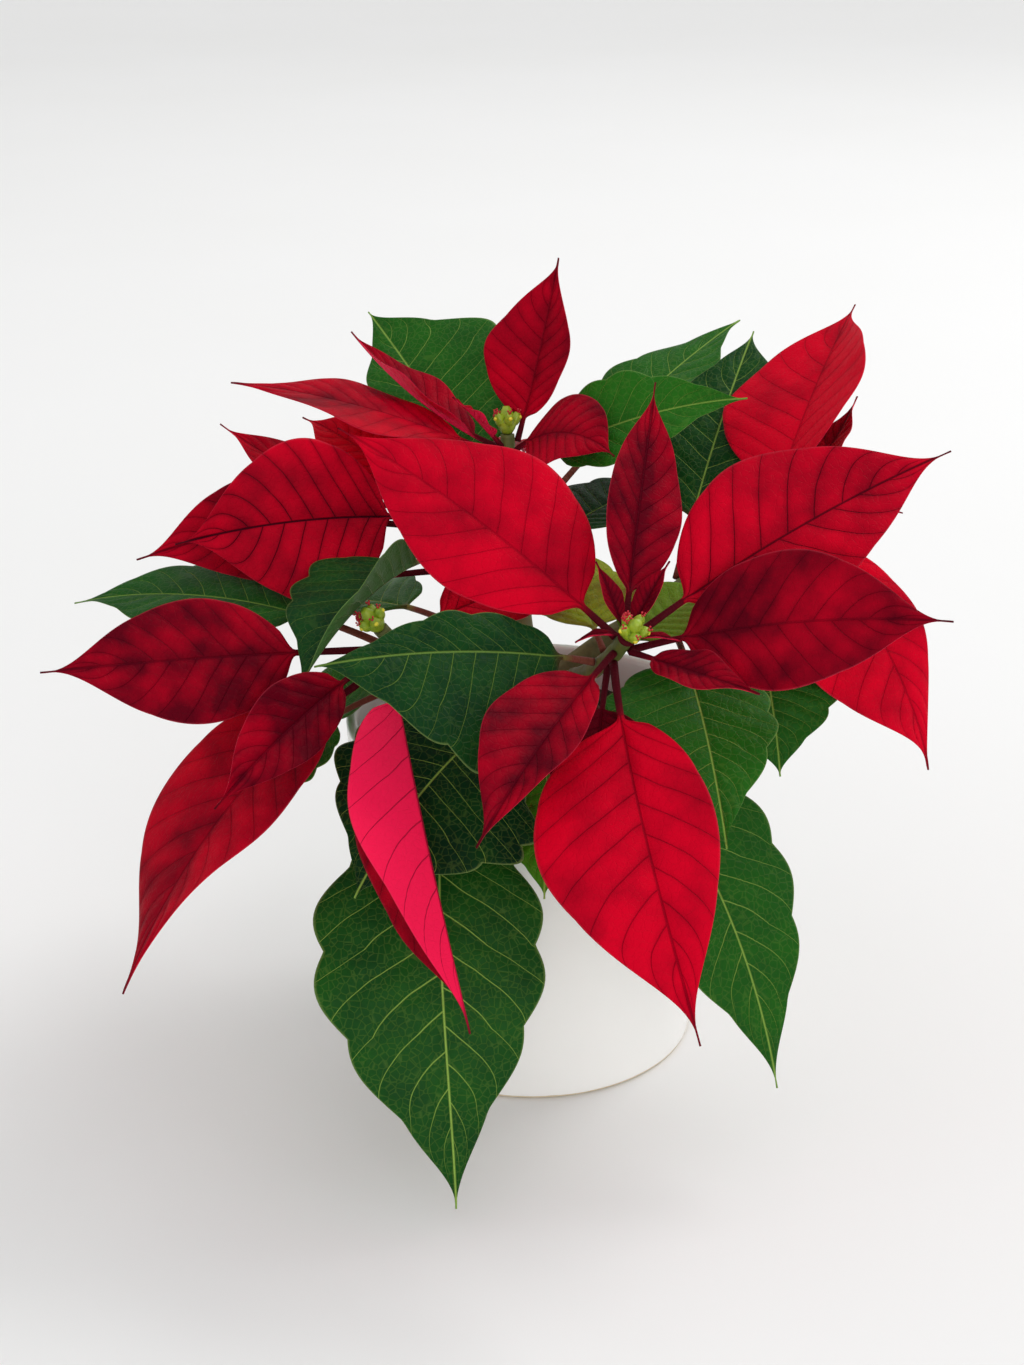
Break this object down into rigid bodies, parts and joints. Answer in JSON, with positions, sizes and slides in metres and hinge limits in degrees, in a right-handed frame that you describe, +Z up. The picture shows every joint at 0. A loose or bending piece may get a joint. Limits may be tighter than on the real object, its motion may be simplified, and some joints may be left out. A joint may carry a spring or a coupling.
{
  "type": "potted poinsettia",
  "caption": "Branching poinsettia with pointed red bracts and dark green lobed leaves, growing in a plain white glazed pot.",
  "frame": {"origin": "centre of the pot's foot, on the ground", "axes": "+Z is up along the pot's axis, -Y is the side that faces the viewer in the picture, +X is the viewer's right"},
  "size_m": [0.2983, 0.3354, 0.2739],
  "materials": {
    "white_glaze": "glossy white glaze over a smooth wall",
    "brown_soil": "dull crumbly potting soil",
    "green_stem": "satin brownish green bark",
    "red_bract": "satin, slightly quilted between the veins",
    "green_leaf": "satin, slightly quilted between the veins",
    "yellow_cup": "waxy green and yellow buds"
  },
  "bodies": {
    "root": {"bract_a_behind_front": "red_bract", "bract_a_front": "red_bract", "bract_a_lower_left": "red_bract", "bract_a_lower_right": "red_bract", "bract_a_right": "red_bract", "bract_a_top": "red_bract", "bract_a_upper_left": "red_bract", "bract_a_upper_right": "red_bract", "bract_b_folded": "red_bract", "bract_b_inner": "red_bract", "bract_b_left": "red_bract", "bract_b_lower_left": "red_bract", "bract_b_narrow": "red_bract", "bract_c_back": "red_bract", "bract_c_left": "red_bract", "bract_c_narrow": "red_bract", "bract_c_right": "red_bract", "bract_c_top": "red_bract", "bract_c_upper_left": "red_bract", "bract_d_back": "red_bract", "bract_d_lower": "red_bract", "bract_d_right": "red_bract", "bract_d_small": "red_bract", "bract_d_upper": "red_bract", "bract_e_bright": "red_bract", "bract_e_curled": "red_bract", "bract_e_front": "red_bract", "bract_e_striped": "red_bract", "bract_e_thin": "red_bract", "bract_e_upper": "red_bract", "cyathia_a": "yellow_cup", "cyathia_b": "yellow_cup", "cyathia_c": "yellow_cup", "cyathia_d": "yellow_cup", "cyathia_e": "yellow_cup", "leaf_back": "green_leaf", "leaf_back_left": "green_leaf", "leaf_back_low_left": "green_leaf", "leaf_back_low_right": "green_leaf", "leaf_back_right": "green_leaf", "leaf_back_right_far": "green_leaf", "leaf_back_twisted": "green_leaf", "leaf_centre": "green_leaf", "leaf_centre_left": "green_leaf", "leaf_dark": "green_leaf", "leaf_front": "green_leaf", "leaf_front_inner": "green_leaf", "leaf_front_right": "green_leaf", "leaf_inner_dark": "green_leaf", "leaf_left": "green_leaf", "leaf_left_low": "green_leaf", "leaf_mottled": "green_leaf", "leaf_right": "green_leaf", "leaf_right_inner": "green_leaf", "leaf_right_lobed": "green_leaf", "leaf_side_left": "green_leaf", "pot": "white_glaze", "soil": "brown_soil", "stems": "green_stem", "young_bracts_a": "red_bract"}
  },
  "joints": []
}
